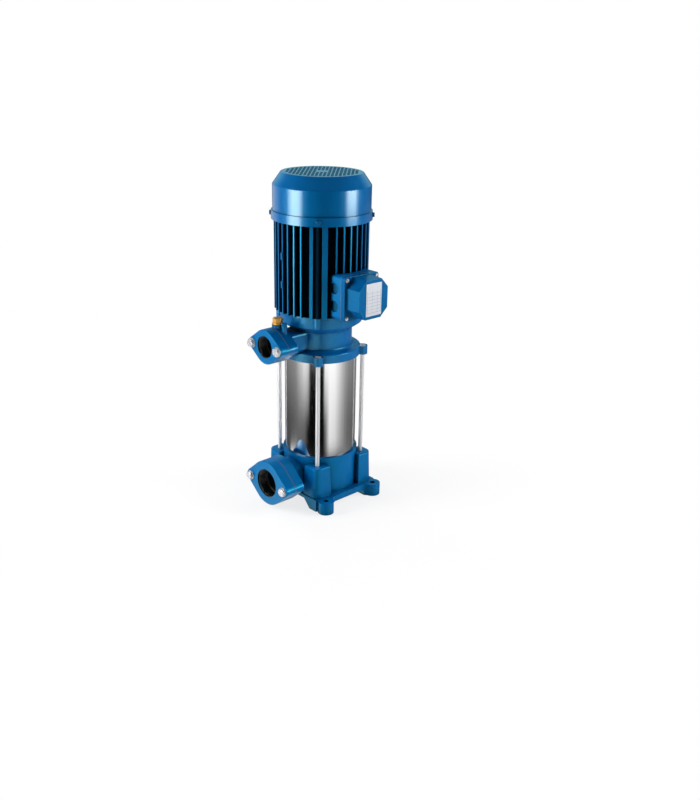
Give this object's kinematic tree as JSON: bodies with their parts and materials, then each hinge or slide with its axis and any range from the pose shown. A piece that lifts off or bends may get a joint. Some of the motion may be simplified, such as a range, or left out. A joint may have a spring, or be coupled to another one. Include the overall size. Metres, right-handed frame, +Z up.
{
  "type": "vertical multistage pump",
  "caption": "Upright inline pump: cast base and head with oval flanges, polished jacket, tie rods, finned motor and fan cover.",
  "frame": {"origin": "centre of the four foot bolt holes, on the ground under the foot plate", "axes": "+Z up along the shaft, -Y out of both ports, +X towards the terminal box"},
  "size_m": [0.2483, 0.2384, 0.6384],
  "materials": {
    "casting_paint": "glossy blue enamel on a cast surface",
    "motor_paint": "glossy dark blue enamel on cast aluminium",
    "cover_paint": "smooth glossy blue enamel on sheet steel",
    "polished_steel": "polished stainless tube",
    "pressed_steel": "pressed stainless sheet",
    "bright_rod": "drawn bright steel",
    "plated_steel": "bright zinc plate",
    "bearing_steel": "ground bearing steel",
    "brass_plug": "turned brass",
    "plate_aluminium": "plain satin aluminium sheet",
    "seal_rubber": "black rubber",
    "gasket_fibre": "brown fibre sheet",
    "dark_carbon": "dark carbon",
    "core_laminations": "stacked steel sheet",
    "copper_winding": "varnished copper wire",
    "fan_plastic": "black moulded plastic",
    "board_plastic": "brown moulded plastic"
  },
  "bodies": {
    "pump": {"bottom_bush": "dark_carbon", "discharge_counter_flange": "casting_paint", "discharge_flange_bolts": "plated_steel", "discharge_gasket": "gasket_fibre", "fan_cover": "cover_paint", "fan_cover_screws": "plated_steel", "gauge_plug": "casting_paint", "inlet_plate": "pressed_steel", "jacket_seals": "seal_rubber", "lid_screws": "plated_steel", "lower_bearing_outer": "bearing_steel", "motor_frame": "motor_paint", "motor_tie_bolts": "plated_steel", "nameplate": "plate_aluminium", "outer_jacket": "polished_steel", "pump_head": "casting_paint", "run_capacitor": "fan_plastic", "seal_seat": "dark_carbon", "stack_ring": "pressed_steel", "stage_bowl_1": "pressed_steel", "stage_bowl_2": "pressed_steel", "stage_bowl_3": "pressed_steel", "stage_bowl_4": "pressed_steel", "stage_bowl_5": "pressed_steel", "stage_bowl_6": "pressed_steel", "stage_bowl_7": "pressed_steel", "stator_core": "core_laminations", "stator_windings": "copper_winding", "suction_casing": "casting_paint", "suction_counter_flange": "casting_paint", "suction_flange_bolts": "plated_steel", "suction_gasket": "gasket_fibre", "terminal_board": "board_plastic", "terminal_gasket": "gasket_fibre", "terminal_lid": "motor_paint", "terminal_studs": "brass_plug", "tie_rod_washers": "plated_steel", "tie_rods": "bright_rod", "upper_bearing_outer": "bearing_steel", "upper_end_shield": "motor_paint"},
    "rotor": {"shaft": "bright_rod", "impeller_1": "pressed_steel", "impeller_2": "pressed_steel", "impeller_3": "pressed_steel", "impeller_4": "pressed_steel", "impeller_5": "pressed_steel", "impeller_6": "pressed_steel", "impeller_7": "pressed_steel", "stage_spacers": "pressed_steel", "shaft_nut": "plated_steel", "journal_sleeve": "bright_rod", "seal_head": "pressed_steel", "lower_bearing_inner": "bearing_steel", "upper_bearing_inner": "bearing_steel", "rotor_core": "core_laminations", "cooling_fan": "fan_plastic"},
    "priming_washer": {"priming_plug_washer": "seal_rubber"},
    "priming_plug": {"priming_plug": "brass_plug"},
    "drain_washer": {"drain_plug_washer": "seal_rubber"},
    "drain_plug": {"drain_plug": "brass_plug"}
  },
  "joints": [
    {"name": "rotor_spin", "type": "hinge", "parent": "pump", "child": "rotor", "pos_m": [0, 0, 0.3], "axis": [0, 0, 1], "continuous": true},
    {"name": "priming_lift", "type": "slide", "parent": "pump", "child": "priming_washer", "axis": [0, 0, 1], "range_m": [0, 0.00935]},
    {"name": "priming_turn", "type": "hinge", "parent": "priming_washer", "child": "priming_plug", "pos_m": [-0.001, -0.1055, 0.369], "axis": [0, 0, 1], "range_deg": [0, 2520]},
    {"name": "drain_lift", "type": "slide", "parent": "pump", "child": "drain_washer", "axis": [0, 1, 0], "range_m": [0, 0.00935]},
    {"name": "drain_turn", "type": "hinge", "parent": "drain_washer", "child": "drain_plug", "pos_m": [0, 0.08, 0.044], "axis": [0, 1, 0], "range_deg": [0, 2520]}
  ],
  "couplings": [
    {"joint": "priming_turn", "follows": "priming_lift", "rad_per_m": 4699.5},
    {"joint": "drain_turn", "follows": "drain_lift", "rad_per_m": 4699.5}
  ]
}
